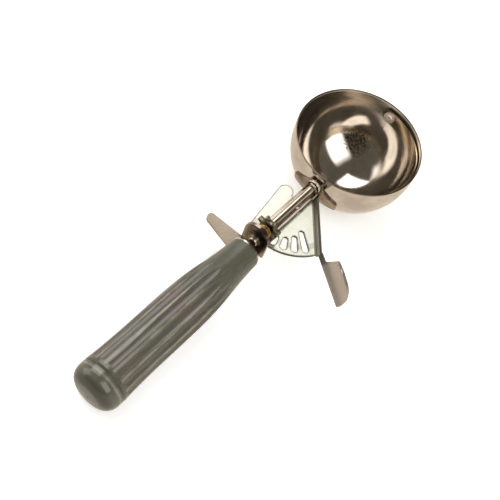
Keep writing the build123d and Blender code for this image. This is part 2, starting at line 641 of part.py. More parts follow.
# ---------------------------------------------------------------- lever pivot rivet and washers
with BuildPart() as pivot_rivet:
    with BuildSketch(level(BAR_TOP + WELD_FILM, PIVOT_X)):
        Circle(PIVOT_HEAD_D / 2)
    extrude(amount=PIVOT_HEAD_HEIGHT)
    fillet(pivot_rivet.edges().group_by(Axis.Z)[-1], PIVOT_HEAD_HEIGHT * HEAD_ROUND)
    with BuildSketch(level(FRAME_BOTTOM, PIVOT_X)):
        Circle(PIVOT_RIVET_D / 2)
    extrude(amount=BAR_TOP + PIVOT_HEAD_HEIGHT / 2 - FRAME_BOTTOM)
    with BuildSketch(level(FRAME_BOTTOM - WELD_FILM - PIVOT_FOOT_HEIGHT, PIVOT_X)):
        Circle(PIVOT_FOOT_D / 2)
    extrude(amount=PIVOT_FOOT_HEIGHT)
    fillet(pivot_rivet.edges().group_by(Axis.Z)[0], PIVOT_FOOT_HEIGHT * HEAD_ROUND)
    with BuildSketch(level(FRAME_BOTTOM - PIVOT_FOOT_HEIGHT / 2, PIVOT_X)):
        Circle(PIVOT_RIVET_D / 2)
    extrude(amount=PIVOT_FOOT_HEIGHT)
keep(pivot_rivet.part, "pivot_rivet")


def pivot_ring(bottom, top, name):
    """Washer on the pivot rivet between two heights."""
    with BuildPart() as ring:
        with BuildSketch(level(bottom, PIVOT_X)):
            Circle(PIVOT_WASHER_D / 2)
            Circle(PIVOT_RIVET_D / 2 + FIXED_FIT, mode=Mode.SUBTRACT)
        extrude(amount=top - bottom)
    keep(ring.part, name)


pivot_ring(LEVER_TOP + FACE_GAP, BAR_BOTTOM, "pivot_spacer")
pivot_ring(FRAME_TOP, LEVER_BOTTOM - FACE_GAP, "pivot_washer")

# ---------------------------------------------------------------- tang plate
TANG_REAR_X = HANDLE_FRONT_X - TANG_REACH
JOGGLE_FRONT_X = HANDLE_FRONT_X - JOGGLE_START
JOGGLE_REAR_X = JOGGLE_FRONT_X - JOGGLE_LENGTH
FERRULE_FRONT_X = HANDLE_FRONT_X + FERRULE_THICKNESS
TANG_BASE_REAR_X = FERRULE_FRONT_X + FACE_GAP
FINGER_FRONT_X = BEARING_FRONT_X + FINGER_FRONT

FINGER_INNER = FRAME_WIDTH / 2 - TANG_LAP
TWIST_START = FRAME_WIDTH / 2 + FINGER_FLAT
FINGER_STOCK = 2 * (BEARING_FRONT_X - HANDLE_FRONT_X + TANG_THICKNESS)

with BuildPart() as finger_strip:
    for side, tilt in (
        (FINGER_INNER, 0.0),
        (TWIST_START, 0.0),
        (TWIST_START + FINGER_TWIST, FINGER_TILT),
        (FINGER_REST_REACH + FINGER_FLAT, FINGER_TILT),
    ):
        with BuildSketch(
            Plane(
                origin=(BEARING_FRONT_X, side, AXIS_Z + TANG_TOP - TANG_THICKNESS / 2),
                x_dir=(cos(radians(tilt)), 0, sin(radians(tilt))),
                z_dir=(0, 1, 0),
            )
        ):
            Rectangle(FINGER_STOCK, TANG_THICKNESS)
    loft(ruled=True)

with BuildPart() as finger_rest:
    with BuildSketch(level(TANG_BOTTOM)):
        with BuildLine():
            finger = FilletPolyline(
                (BEARING_FRONT_X + FINGER_FOOT, FINGER_INNER),
                (FINGER_FRONT_X, FINGER_REST_REACH),
                (FINGER_FRONT_X - FINGER_TIP_WIDTH, FINGER_REST_REACH),
                (HANDLE_FRONT_X + FINGER_ROOT_GAP, FINGER_ROOT),
                (TANG_BASE_REAR_X, FINGER_HEEL),
                radius=FINGER_ROUNDS,
            )
            heel = (TANG_BASE_REAR_X, FINGER_INNER)
            Line(finger @ 1, heel)
            Line(heel, finger @ 0)
        make_face()
    extrude(amount=FINGER_STOCK, both=True)
    add(finger_strip.part, mode=Mode.INTERSECT)

with BuildPart() as tang_plate:
    with BuildSketch(level(TANG_BOTTOM)):
        with Locations((TANG_BASE_REAR_X, 0)):
            Rectangle(
                BEARING_FRONT_X + TANG_BASE_LENGTH - TANG_BASE_REAR_X,
                FRAME_WIDTH,
                align=(Align.MIN, Align.CENTER),
            )
    extrude(amount=TANG_THICKNESS)
    add(finger_rest.part)
    with BuildSketch(Plane.XZ):
        Polygon(
            (TANG_BASE_REAR_X + TANG_LAP, AXIS_Z + TANG_BOTTOM),
            (JOGGLE_FRONT_X, AXIS_Z + TANG_BOTTOM),
            (JOGGLE_REAR_X, HANDLE_Z - TANG_THICKNESS / 2),
            (TANG_REAR_X, HANDLE_Z - TANG_THICKNESS / 2),
            (TANG_REAR_X, HANDLE_Z + TANG_THICKNESS / 2),
            (JOGGLE_REAR_X + JOGGLE_SKEW, HANDLE_Z + TANG_THICKNESS / 2),
            (JOGGLE_FRONT_X + JOGGLE_SKEW, AXIS_Z + TANG_TOP),
            (TANG_BASE_REAR_X + TANG_LAP, AXIS_Z + TANG_TOP),
            align=None,
        )
    extrude(amount=TANG_WIDTH / 2, both=True)
    with BuildSketch(level(TANG_BOTTOM)):
        with Locations([(x, 0) for x in FRAME_RIVET_XS]):
            Circle(FRAME_RIVET_D / 2 + FIXED_FIT)
    extrude(amount=TANG_THICKNESS, mode=Mode.SUBTRACT)
keep(tang_plate.part, "tang_plate")

# ---------------------------------------------------------------- frame rivets
with BuildPart() as frame_rivets:
    for x in FRAME_RIVET_XS:
        with BuildSketch(level(TANG_BOTTOM - FRAME_RIVET_HEAD / 2, x)):
            Circle(FRAME_RIVET_D / 2)
        extrude(amount=FRAME_THICKNESS + TANG_THICKNESS + FRAME_RIVET_HEAD)
        with BuildSketch(level(TANG_BOTTOM - WELD_FILM - FRAME_RIVET_HEAD, x)):
            Circle(FRAME_RIVET_HEAD_D / 2)
        extrude(amount=FRAME_RIVET_HEAD)
        with BuildSketch(level(FRAME_TOP + WELD_FILM, x)):
            Circle(FRAME_RIVET_HEAD_D / 2)
        extrude(amount=FRAME_RIVET_HEAD)
    fillet(frame_rivets.edges().group_by(Axis.Z)[0], FRAME_RIVET_HEAD * HEAD_ROUND)
    fillet(frame_rivets.edges().group_by(Axis.Z)[-1], FRAME_RIVET_HEAD * HEAD_ROUND)
keep(frame_rivets.part, "frame_rivets")

# ---------------------------------------------------------------- ferrule plate
with BuildPart() as ferrule_plate:
    with BuildSketch(across(HANDLE_FRONT_X, HANDLE_Z)):
        Circle(FERRULE_RADIUS)
        with Locations((0, HANDLE_DROP + TANG_TOP + TANG_SLOT_GAP)):
            Rectangle(
                TANG_WIDTH + 2 * TANG_SLOT_GAP,
                FERRULE_RADIUS,
                align=(Align.CENTER, Align.MAX),
                mode=Mode.SUBTRACT,
            )
    extrude(amount=FERRULE_THICKNESS)
keep(ferrule_plate.part, "ferrule_plate")

# ---------------------------------------------------------------- handle grip
NECK_POCKET_LENGTH = JOGGLE_START + JOGGLE_LENGTH + TANG_END_GAP
GRIP_END_Z = HANDLE_Z + BUTT_RADIUS

with BuildPart() as handle_grip:
    with BuildSketch(Plane.XZ):
        with BuildLine():
            Line((HANDLE_BUTT_X, HANDLE_Z), (HANDLE_FRONT_X, HANDLE_Z))
            Line((HANDLE_FRONT_X, HANDLE_Z), (HANDLE_FRONT_X, HANDLE_Z + NECK_RADIUS))
            side = Spline(
                (HANDLE_FRONT_X, HANDLE_Z + NECK_RADIUS),
                (HANDLE_FRONT_X - WAIST_AT, HANDLE_Z + WAIST_RADIUS),
                (HANDLE_FRONT_X - SHOULDER_AT, HANDLE_Z + SHOULDER_RADIUS),
                (HANDLE_FRONT_X - GRIP_AT, HANDLE_Z + GRIP_RADIUS),
                (HANDLE_BUTT_X, GRIP_END_Z),
            )
            Line((HANDLE_BUTT_X, GRIP_END_Z), (HANDLE_BUTT_X, HANDLE_Z))
        make_face()
    revolve(axis=HANDLE_AXIS)
    chamfer(handle_grip.edges().group_by(Axis.X)[0], BUTT_GROOVE)
    fillet(handle_grip.edges().group_by(Axis.X)[-1], NECK_ROUND)
    flute_front = FLUTE_CUTTER_RADIUS - FLUTE_DEPTH
    for index in range(FLUTE_COUNT):
        turn = radians((index + 0.5) * 360.0 / FLUTE_COUNT)
        outward = Vector(0, cos(turn), sin(turn))
        front = Vector(HANDLE_FRONT_X - FLUTE_START, 0, HANDLE_Z) + outward * (
            SHOULDER_RADIUS + flute_front
        )
        rear = Vector(HANDLE_BUTT_X + FLUTE_MARGIN, 0, HANDLE_Z) + outward * (BUTT_RADIUS + flute_front)
        with BuildSketch(Plane(origin=rear, z_dir=front - rear)):
            Circle(FLUTE_CUTTER_RADIUS)
        extrude(amount=(front - rear).length + FLUTE_RUNOUT, mode=Mode.SUBTRACT)
    with BuildSketch(across(HANDLE_FRONT_X, HANDLE_Z)):
        Rectangle(TANG_WIDTH + 2 * TANG_SLOT_GAP, 2 * TANG_THICKNESS, align=(Align.CENTER, Align.CENTER))
        with Locations((0, HANDLE_DROP + TANG_BOTTOM - TANG_SLOT_GAP)):
            Rectangle(
                TANG_WIDTH + 2 * TANG_SLOT_GAP,
                TANG_THICKNESS - TANG_BOTTOM - HANDLE_DROP,
                align=(Align.CENTER, Align.MIN),
            )
    extrude(amount=-NECK_POCKET_LENGTH, mode=Mode.SUBTRACT)
    with BuildSketch(across(HANDLE_FRONT_X, HANDLE_Z)):
        Rectangle(TANG_WIDTH + 2 * TANG_SLOT_GAP, TANG_THICKNESS + 2 * TANG_SLOT_GAP)
    extrude(amount=-TANG_REACH - TANG_END_GAP, mode=Mode.SUBTRACT)
    with BuildSketch(across(HANDLE_BUTT_X, HANDLE_Z)):
        Circle(ROD_D / 2 + TANG_SLOT_GAP)
    extrude(amount=HANDLE_LENGTH - TANG_REACH + ROD_LAP + TANG_END_GAP, mode=Mode.SUBTRACT)
    with BuildSketch(across(HANDLE_BUTT_X, HANDLE_Z)):
        Circle(POCKET_D / 2)
    extrude(amount=POCKET_DEPTH, mode=Mode.SUBTRACT)
keep(handle_grip.part, "handle_grip")

# ---------------------------------------------------------------- tang rod, washer and nut
POCKET_FLOOR_X = HANDLE_BUTT_X + POCKET_DEPTH
WASHER_REAR_X = POCKET_FLOOR_X - TANG_WASHER_THICKNESS
NUT_REAR_X = WASHER_REAR_X - NUT_HEIGHT
ROD_FRONT_X = TANG_REAR_X + ROD_LAP
ROD_REAR_X = NUT_REAR_X - ROD_BEYOND_NUT

with BuildPart() as tang_rod:
    with BuildSketch(across(ROD_REAR_X, HANDLE_Z)):
        Circle(ROD_D / 2)
    extrude(amount=ROD_FRONT_X - ROD_REAR_X)
    with BuildSketch(across(TANG_REAR_X - FACE_GAP, HANDLE_Z)):
        Rectangle(ROD_D, TANG_THICKNESS + 2 * WELD_FILM)
    extrude(amount=ROD_LAP + 2 * FACE_GAP, mode=Mode.SUBTRACT)
keep(tang_rod.part, "tang_rod")

with BuildPart() as tang_washer:
    with BuildSketch(across(WASHER_REAR_X, HANDLE_Z)):
        Circle(TANG_WASHER_D / 2)
        Circle(ROD_D / 2 + TANG_SLOT_GAP, mode=Mode.SUBTRACT)
    extrude(amount=TANG_WASHER_THICKNESS)
keep(tang_washer.part, "tang_washer")

with BuildPart() as tang_nut:
    with BuildSketch(across(NUT_REAR_X, HANDLE_Z)):
        RegularPolygon(NUT_FLATS / 2, 6, major_radius=False)
        Circle(ROD_D / 2 + FIXED_FIT, mode=Mode.SUBTRACT)
    extrude(amount=NUT_HEIGHT)
keep(tang_nut.part, "tang_nut")

# ---------------------------------------------------------------- end cap
CAP_END_X = HANDLE_BUTT_X - CAP_LENGTH
CAP_SPIGOT_RADIUS = POCKET_D / 2 - TANG_SLOT_GAP

with BuildPart() as end_cap:
    with BuildSketch(Plane.XZ):
        with BuildLine():
            apex = (CAP_END_X, HANDLE_Z)
            edge = (CAP_END_X + CAP_DOME, GRIP_END_Z - CAP_DRAFT)
            TangentArc(apex, edge, tangent=(0, 1))
            Line(edge, (HANDLE_BUTT_X, GRIP_END_Z))
            Line((HANDLE_BUTT_X, GRIP_END_Z), (HANDLE_BUTT_X, HANDLE_Z))
            Line((HANDLE_BUTT_X, HANDLE_Z), apex)
        make_face()
    revolve(axis=HANDLE_AXIS)
    rings = end_cap.edges().filter_by(lambda edge: edge.is_closed).sort_by(Axis.X)
    fillet(rings[0], CAP_EDGE_ROUND)
    chamfer(end_cap.edges().group_by(Axis.X)[-1], BUTT_GROOVE)
    with BuildSketch(across(HANDLE_BUTT_X, HANDLE_Z)):
        Circle(CAP_SPIGOT_RADIUS)
        Circle(CAP_SPIGOT_RADIUS - CAP_SPIGOT_WALL, mode=Mode.SUBTRACT)
    extrude(amount=CAP_SPIGOT_LENGTH)
    with BuildSketch(across(HANDLE_BUTT_X, HANDLE_Z)):
        Circle(CAP_SPIGOT_RADIUS - CAP_SPIGOT_WALL)
    extrude(amount=-CAP_RECESS, mode=Mode.SUBTRACT)
keep(end_cap.part, "end_cap")
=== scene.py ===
import math

import bmesh
import bpy
from mathutils import Matrix, Vector, noise


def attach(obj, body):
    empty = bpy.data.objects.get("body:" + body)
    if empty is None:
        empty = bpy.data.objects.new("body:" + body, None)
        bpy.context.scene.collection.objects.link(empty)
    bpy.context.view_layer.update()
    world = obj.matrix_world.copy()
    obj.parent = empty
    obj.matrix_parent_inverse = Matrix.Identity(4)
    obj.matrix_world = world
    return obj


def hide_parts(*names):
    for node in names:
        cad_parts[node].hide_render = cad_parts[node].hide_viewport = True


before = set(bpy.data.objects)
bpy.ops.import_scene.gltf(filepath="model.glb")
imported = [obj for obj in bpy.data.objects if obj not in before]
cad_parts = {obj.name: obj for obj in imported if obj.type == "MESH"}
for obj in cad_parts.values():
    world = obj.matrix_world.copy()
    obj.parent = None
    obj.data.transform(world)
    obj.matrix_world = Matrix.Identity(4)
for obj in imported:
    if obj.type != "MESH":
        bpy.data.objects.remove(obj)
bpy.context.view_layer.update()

# ---------------------------------------------------------------- camera
# Looks down over the handle's end into the bowl, turned a little about its own axis, so the scoop
# lies corner to corner in a square picture.
CAMERA_AT = Vector((-0.29635, -0.08048, 0.34629))
LOOK_AT = Vector((-0.09002, -0.00116, -0.012))
CAMERA_ROLL = 23.28
CAMERA_LENS = 60.34

camera_data = bpy.data.cameras.new("camera")
camera_data.lens = CAMERA_LENS
camera_data.sensor_width = 36.0
camera_data.sensor_fit = "HORIZONTAL"
camera_data.clip_start = 0.01
camera = bpy.data.objects.new("camera", camera_data)
facing = (LOOK_AT - CAMERA_AT).to_track_quat("-Z", "Y").to_matrix().to_4x4()
roll = Matrix.Rotation(math.radians(CAMERA_ROLL), 4, "Z")
camera.matrix_world = Matrix.Translation(CAMERA_AT) @ facing @ roll
bpy.context.scene.collection.objects.link(camera)
bpy.context.scene.camera = camera


# ---------------------------------------------------------------- floor
# A pale matt paper that the scoop rests on, touching the bowl's back and the end cap's lower edge.
# It leans by five degrees because the scoop's own axes do so when it is put down. Light from behind
# the sheet keeps it white.
PAPER = "#FAFAF9"
PAPER_FLECK = "#F7F7F6"
PULP = 700.0                 # cells in a metre, as in all noise here, so flecks 1.4 mm across
NOISE_LOW, NOISE_HIGH = 0.3, 0.7    # nearly all of a noise lies between them
PAPER_GLOW = 0.4
PAPER_SIZE = 24.0
FLOOR_LEAN = 5.37
BOWL_CENTRE = Vector((0, 0, -0.0076))
BOWL_OUTSIDE = 0.0358


def linear(code, alpha=1.0):
    """Turns an sRGB hex colour into the linear one that a shader takes."""
    values = [int(code[i : i + 2], 16) / 255 for i in (1, 3, 5)]
    lit = [v / 12.92 if v <= 0.04045 else ((v + 0.055) / 1.055) ** 2.4 for v in values]
    return tuple(lit) + (alpha,)


def add(tree, kind, sockets, stops=(), **settings):
    """Adds a shader node. Sockets get values or the outputs that feed them, a ramp its stops."""
    node = tree.nodes.new(kind)
    for key, value in settings.items():
        setattr(node, key, value)
    for key, value in sockets.items():
        if isinstance(value, bpy.types.NodeSocket):
            tree.links.new(value, node.inputs[key])
        else:
            node.inputs[key].default_value = value
    for index, (place, colour) in enumerate(stops):
        ramp = node.color_ramp.elements
        stop = ramp[index] if index < len(ramp) else ramp.new(place)
        stop.position = place
        stop.color = linear(colour)
    return node


def new_finish(name, **sockets):
    """Starts a material, sets its shader's plain sockets, and gives it, its tree and its shader."""
    finish = bpy.data.materials.new(name)
    finish.use_nodes = True
    shader = finish.node_tree.nodes["Principled BSDF"]
    for key, value in sockets.items():
        shader.inputs[key.replace("_", " ")].default_value = value
    return finish, finish.node_tree, shader


paper, tree, shader = new_finish("matt_paper", Roughness=0.85, Emission_Strength=PAPER_GLOW)
space = add(tree, "ShaderNodeTexCoord", {}).outputs["Object"]
pulp = add(tree, "ShaderNodeTexNoise", {"Vector": space, "Scale": PULP, "Detail": 2.0})
tone = add(
    tree, "ShaderNodeValToRGB", {"Fac": pulp.outputs["Fac"]},
    stops=[(NOISE_LOW, PAPER_FLECK), (NOISE_HIGH, PAPER)],
)
tree.links.new(tone.outputs["Color"], shader.inputs["Base Color"])
shader.inputs["Emission Color"].default_value = linear(PAPER)

sheet = bmesh.new()
bmesh.ops.create_grid(sheet, x_segments=8, y_segments=8, size=PAPER_SIZE / 2)
lean = Matrix.Rotation(math.radians(FLOOR_LEAN), 4, "Y")
under = BOWL_CENTRE - lean.to_3x3() @ Vector((0, 0, BOWL_OUTSIDE))
bmesh.ops.transform(sheet, matrix=Matrix.Translation(under) @ lean, verts=sheet.verts)
floor_mesh = bpy.data.meshes.new("floor")
sheet.to_mesh(floor_mesh)
sheet.free()
floor = bpy.data.objects.new("floor", floor_mesh)
floor.data.materials.append(paper)
floor.visible_glossy = False  # the steel mirrors the room's walls here, not the sheet
bpy.context.scene.collection.objects.link(floor)


# ---------------------------------------------------------------- studio light
# A room with two large softboxes and one lit patch of wall, pale walls low down and a dim ceiling,
# as polished steel mirrors them. An overhead fill, which metal doesn't mirror, evens out the light
# on the paper.
CEILING = "#645F56"
WALLS = "#F0E4D3"
WALLS_TOP = 0.42             # sine of the angle up at which they have faded into the ceiling
FILL_AT = (-0.09, 0.0, 1.3)
FILL_SIZE = 1.6
FILL_WATTS = 7.0
# polar and azimuth aim a box, in degrees from straight up and from +X, and turn rolls it. Sides and
# ends are tangents from its middle, beyond which the light fades out over the fades. Glow is what
# the box adds to the room.
SOFTBOXES = (
    {
        "polar": 33.0, "azimuth": -111.0, "turn": 9.0, "glow": 2.7,
        "sides": (-0.24, 0.27), "side_fades": (0.16, 0.12),
        "ends": (-0.52, 0.10), "end_fades": (0.12, 0.42),
    },
    {
        "polar": 38.0, "azimuth": 58.0, "turn": 32.0, "glow": 3.0,
        "sides": (-0.20, 0.23), "side_fades": (0.18, 0.08),
        "ends": (-0.42, 0.36), "end_fades": (0.20, 0.10),
    },
    {
        "polar": 66.0, "azimuth": 108.0, "turn": 0.0, "glow": 1.8,
        "sides": (-0.24, 0.08), "side_fades": (0.30, 0.30),
        "ends": (-0.22, 0.18), "end_fades": (0.30, 0.20),
    },
)

room = bpy.data.worlds.new("studio_room")
room.use_nodes = True
bpy.context.scene.world = room
tree = room.node_tree
ray = add(tree, "ShaderNodeTexCoord", {}).outputs["Generated"]
height = add(tree, "ShaderNodeSeparateXYZ", {"Vector": ray}).outputs["Z"]
rise = add(
    tree, "ShaderNodeMapRange", {"Value": height, "From Min": 0.0, "From Max": WALLS_TOP},
    interpolation_type="SMOOTHSTEP",
)
light = add(
    tree, "ShaderNodeMix", {"Factor": rise.outputs["Result"], 6: linear(WALLS), 7: linear(CEILING)},
    data_type="RGBA",
).outputs[2]
for box in SOFTBOXES:
    polar, azimuth = math.radians(box["polar"]), math.radians(box["azimuth"])
    slant = math.sin(polar)
    out = Vector((slant * math.cos(azimuth), slant * math.sin(azimuth), math.cos(polar)))
    across = Vector((0, 0, 1)).cross(out).normalized()
    up = out.cross(across)
    turn = Matrix.Rotation(math.radians(box["turn"]), 3, out)
    across, up = turn @ across, turn @ up
    depth = add(
        tree, "ShaderNodeVectorMath", {0: ray, 1: out}, operation="DOT_PRODUCT",
    ).outputs["Value"]
    shown = add(
        tree, "ShaderNodeMath", {0: depth, 1: 0.0}, operation="GREATER_THAN",
    ).outputs["Value"]
    for direction, limits, fades in (
        (across, box["sides"], box["side_fades"]),
        (up, box["ends"], box["end_fades"]),
    ):
        part = add(
            tree, "ShaderNodeVectorMath", {0: ray, 1: direction}, operation="DOT_PRODUCT",
        ).outputs["Value"]
        place = add(
            tree, "ShaderNodeMath", {0: part, 1: depth}, operation="DIVIDE",
        ).outputs["Value"]
        for limit, sign, fade in ((limits[0], -1, fades[0]), (limits[1], 1, fades[1])):
            edge = add(
                tree, "ShaderNodeMapRange",
                {
                    "Value": place,
                    "From Min": limit,
                    "From Max": limit + sign * fade,
                    "To Min": 1.0,
                    "To Max": 0.0,
                },
                interpolation_type="SMOOTHSTEP",
            )
            shown = add(
                tree, "ShaderNodeMath", {0: shown, 1: edge.outputs["Result"]}, operation="MULTIPLY",
            ).outputs["Value"]
    glow = add(
        tree, "ShaderNodeMath", {0: shown, 1: box["glow"]}, operation="MULTIPLY",
    ).outputs["Value"]
    light = add(
        tree, "ShaderNodeVectorMath", {0: light, 1: glow}, operation="ADD",
    ).outputs["Vector"]
tree.links.new(light, tree.nodes["Background"].inputs["Color"])

lamp = bpy.data.lights.new("overhead", "AREA")
lamp.shape = "RECTANGLE"
lamp.size, lamp.size_y = FILL_SIZE, FILL_SIZE
lamp.energy = FILL_WATTS
overhead = bpy.data.objects.new("overhead", lamp)
overhead.matrix_world = Matrix.Translation(FILL_AT)
overhead.visible_glossy = False
bpy.context.scene.collection.objects.link(overhead)
bpy.context.scene.view_settings.view_transform = "Standard"


# ---------------------------------------------------------------- bowl
# Stainless steel sheet spun to a half sphere with a short straight wall, then buffed. Spinning
# leaves faint rings round its axis, the blade leaves fine sweep marks across the inside, and
# washing leaves a thin pale haze.
SPIN_RINGS = 1400.0          # rings 0.7 mm apart, coarser than real ones so that they show
SWEEP_MARKS = 2600.0         # marks 0.4 mm apart, likewise
MARK_STRENGTH, MARK_HEIGHT = 0.16, 0.00003
BOWL_HAZE = 60.0             # clouds 17 mm across
BOWL_GLOSS = (0.05, 0.13)    # roughness where it is clear and where it is hazy
BOWL_PALE = "#D8D0C6"
BOWL_DARK = "#BEB5AA"
HAZE_LOW, HAZE_HIGH = 0.35, 0.65    # noise at which a steel's tone is darkest and palest
BOWL_INSIDE = 0.0349
INSIDE_MARGIN = 0.0002       # so the whole inner wall counts as inside
RUB_LOW, RUB_HIGH = -0.020, -0.005    # the blade wears the wall duller towards the rim
RUB_DULL = 0.12
RIM_HIGHLIGHT_BAND = (-0.0011, -0.0003)    # a painted highlight: the rim's inner corner is painted as a fine pale line
RIM_HIGHLIGHT = "#FFF8EC"
RIM_SHARE = 0.7              # of that tone in the line
RIM_BLOOM = 0.6              # how much less metallic that tone is
LIP_SHADE = "#8B7767"         # painted shade: the sawn edge above it is painted duller and browner
ETCH_AT = Vector((0.0243, 0.0086, -0.0311))
ETCH_REACH = 0.0105          # salt has etched brown specks near the bottom, out to here
ETCH_CORE = 0.005            # within which they are full
ETCH_TONE = "#472A1F"
ETCH_SPECKS = 1100.0         # specks 0.9 mm across
ETCH_CUT = (0.42, 0.56)      # noise at a speck's edge and where it is full
VEIL = 0.985                 # metallic, the rest is the haze of fine scratches and washing

spun, tree, shader = new_finish("stainless_spun_buffed", Metallic=VEIL)
space = add(tree, "ShaderNodeTexCoord", {}).outputs["Object"]
split = add(tree, "ShaderNodeSeparateXYZ", {"Vector": space}).outputs
flat = add(tree, "ShaderNodeCombineXYZ", {"X": split["X"], "Y": split["Y"]})
reach = add(
    tree, "ShaderNodeVectorMath", {0: flat.outputs["Vector"]}, operation="LENGTH",
).outputs["Value"]
profile = add(tree, "ShaderNodeMath", {0: reach, 1: split["Z"]}, operation="ADD").outputs["Value"]
rings = add(
    tree, "ShaderNodeTexNoise", {"W": profile, "Scale": SPIN_RINGS, "Detail": 2.0},
    noise_dimensions="1D",
)
sweeps = add(
    tree, "ShaderNodeTexNoise", {"W": split["X"], "Scale": SWEEP_MARKS, "Detail": 3.0},
    noise_dimensions="1D",
)
haze = add(
    tree, "ShaderNodeTexNoise",
    {"Vector": space, "Scale": BOWL_HAZE, "Detail": 5.0, "Roughness": 0.65},
)
tint = add(
    tree, "ShaderNodeValToRGB", {"Fac": haze.outputs["Fac"]},
    stops=[(HAZE_LOW, BOWL_DARK), (HAZE_HIGH, BOWL_PALE)],
)
rubbed = add(
    tree, "ShaderNodeMapRange", {"Value": split["Z"], "From Min": RUB_LOW, "From Max": RUB_HIGH},
    interpolation_type="SMOOTHSTEP",
).outputs["Result"]
rim_low = add(
    tree, "ShaderNodeMath", {0: split["Z"], 1: RIM_HIGHLIGHT_BAND[0]}, operation="GREATER_THAN",
).outputs["Value"]
rim_high = add(
    tree, "ShaderNodeMath", {0: split["Z"], 1: RIM_HIGHLIGHT_BAND[1]}, operation="LESS_THAN",
).outputs["Value"]
inside = add(
    tree, "ShaderNodeMath", {0: reach, 1: BOWL_INSIDE + INSIDE_MARGIN}, operation="LESS_THAN",
).outputs["Value"]
rubbed = add(tree, "ShaderNodeMath", {0: rubbed, 1: inside}, operation="MULTIPLY").outputs["Value"]
# painted highlight: a pale, less metallic line round the rim's inner corner
rim_highlight = add(
    tree, "ShaderNodeMath", {0: rim_low, 1: rim_high}, operation="MULTIPLY",
).outputs["Value"]
rim_highlight = add(
    tree, "ShaderNodeMath", {0: rim_highlight, 1: inside}, operation="MULTIPLY",
).outputs["Value"]
rim_highlight = add(
    tree, "ShaderNodeMath", {0: rim_highlight, 1: RIM_SHARE}, operation="MULTIPLY",
).outputs["Value"]
lit = add(
    tree, "ShaderNodeMix", {"Factor": rim_highlight, 6: tint.outputs["Color"], 7: linear(RIM_HIGHLIGHT)},
    data_type="RGBA",
)
# painted shade on the rim's top edge
lip = add(
    tree, "ShaderNodeMath", {0: split["Z"], 1: RIM_HIGHLIGHT_BAND[1]}, operation="GREATER_THAN",
).outputs["Value"]
lipped = add(
    tree, "ShaderNodeMix", {"Factor": lip, 6: lit.outputs[2], 7: linear(LIP_SHADE)},
    data_type="RGBA",
)
etched = add(
    tree, "ShaderNodeVectorMath", {0: space, 1: ETCH_AT}, operation="DISTANCE",
).outputs["Value"]
etched = add(
    tree, "ShaderNodeMapRange", {"Value": etched, "From Min": ETCH_REACH, "From Max": ETCH_CORE},
).outputs["Result"]
specks = add(
    tree, "ShaderNodeTexNoise",
    {"Vector": space, "Scale": ETCH_SPECKS, "Detail": 3.0, "Roughness": 0.7},
)
specks = add(
    tree, "ShaderNodeMapRange",
    {"Value": specks.outputs["Fac"], "From Min": ETCH_CUT[0], "From Max": ETCH_CUT[1]},
)
etched = add(
    tree, "ShaderNodeMath", {0: etched, 1: specks.outputs["Result"]}, operation="MULTIPLY",
).outputs["Value"]
stained = add(
    tree, "ShaderNodeMix", {"Factor": etched, 6: lipped.outputs[2], 7: linear(ETCH_TONE)},
    data_type="RGBA",
)
tree.links.new(stained.outputs[2], shader.inputs["Base Color"])
metal = add(
    tree, "ShaderNodeMath", {0: rim_highlight, 1: -RIM_BLOOM, 2: VEIL}, operation="MULTIPLY_ADD",
).outputs["Value"]
tree.links.new(metal, shader.inputs["Metallic"])
lines = add(
    tree, "ShaderNodeMath", {0: rings.outputs["Fac"], 1: sweeps.outputs["Fac"]}, operation="ADD",
)
dull = add(
    tree, "ShaderNodeMapRange",
    {
        "Value": haze.outputs["Fac"],
        "From Min": NOISE_LOW,
        "From Max": NOISE_HIGH,
        "To Min": BOWL_GLOSS[0],
        "To Max": BOWL_GLOSS[1],
    },
)
dull = add(
    tree, "ShaderNodeMath", {0: rubbed, 1: RUB_DULL, 2: dull.outputs["Result"]},
    operation="MULTIPLY_ADD",
)
tree.links.new(dull.outputs["Value"], shader.inputs["Roughness"])
bump = add(
    tree, "ShaderNodeBump",
    {"Height": lines.outputs["Value"], "Strength": MARK_STRENGTH, "Distance": MARK_HEIGHT},
)
tree.links.new(bump.outputs["Normal"], shader.inputs["Normal"])
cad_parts["bowl"].material_slots[0].material = spun


# ---------------------------------------------------------------- saddle
# The fishtail plate that carries the bowl, cut from stainless sheet and brazed on. It is painted
# browner and darker than the bowl, a painted shade for the dim room that it mirrors, and the braze
# stands as a lumpy bead round the shaft's bush, painted pale as a painted highlight.
SADDLE_SHADED_PALE = "#A89783"
SADDLE_SHADED_DARK = "#6A5948"
GRAIN = 1800.0               # buffing lines 0.6 mm apart, coarser than real ones so that they show
GRAIN_STRETCH = 0.04         # the lines are 25 times as long as wide
GRAIN_HEIGHT = 0.00005
STEEL_HAZE = 90.0            # clouds 11 mm across
DULL_SPREAD = (0.7, 1.3)     # haze and grain added, where the steel is clearest and dullest


